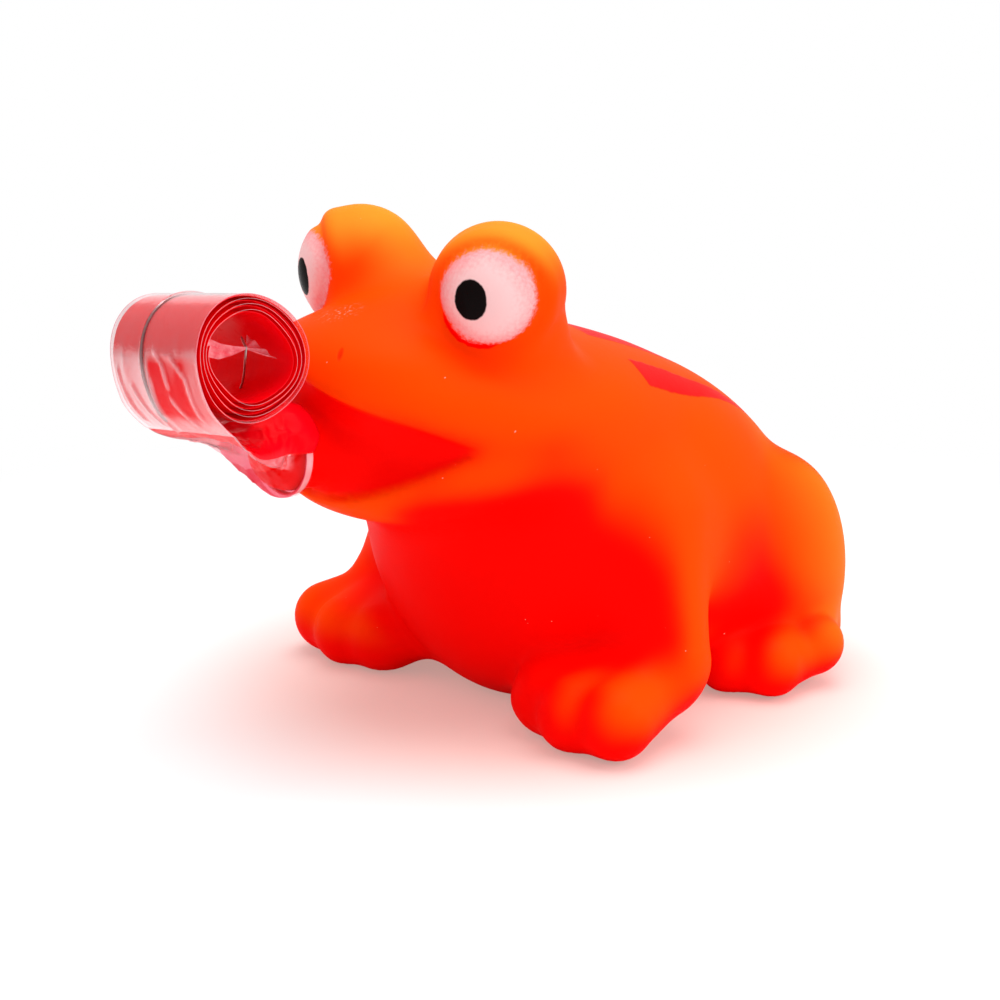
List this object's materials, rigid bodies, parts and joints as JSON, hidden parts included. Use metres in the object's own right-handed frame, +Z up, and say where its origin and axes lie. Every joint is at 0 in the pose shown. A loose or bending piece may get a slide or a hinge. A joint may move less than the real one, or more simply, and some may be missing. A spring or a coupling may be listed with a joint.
{
  "type": "squeeze frog toy with unrolling tongue",
  "caption": "Hollow soft vinyl toy frog that sits on its belly and feet; squeezing it blows out a rolled film tongue, which a wire inside rolls up again.",
  "frame": {"origin": "on the floor under the middle of the belly, where the frog sits", "axes": "+Z up, -Y the way the frog faces, +X the frog's left"},
  "size_m": [0.0686, 0.1035, 0.0659],
  "materials": {
    "vinyl": "matte",
    "red_paint": "satin",
    "white_paint": "satin",
    "black_paint": "gloss",
    "film": "gloss",
    "pink_tape": "gloss",
    "wire": "satin"
  },
  "bodies": {
    "frog": {"body_shell": "vinyl", "mouth_coat": "red_paint", "eye_white_left": "white_paint", "eye_white_right": "white_paint", "pupil_left": "black_paint", "pupil_right": "black_paint", "back_patch_centre": "red_paint", "back_patch_left": "red_paint", "back_patch_right": "red_paint", "tongue_cuff": "pink_tape"},
    "tongue_film": {"tongue_neck": "film"},
    "tongue_coil": {"tongue_roll": "film", "recoil_wire": "wire", "tongue_tip_seal": "pink_tape"}
  },
  "joints": [
    {"name": "tongue_extend", "type": "slide", "parent": "frog", "child": "tongue_film", "axis": [-0.0808, -0.9237, 0.3746], "range_m": [0, 0.15], "stiffness_N_per_m": 1, "springref_m": -0.02, "deforming": ["tongue_neck"]},
    {"name": "tongue_unroll", "type": "hinge", "parent": "tongue_film", "child": "tongue_coil", "pos_m": [-0.00187, -0.05719, 0.05184], "axis": [0.9927, -0.041, 0.113], "range_deg": [0, 1440]}
  ],
  "couplings": [
    {"joint": "tongue_unroll", "follows": "tongue_extend", "rad_per_m": 167.55}
  ]
}
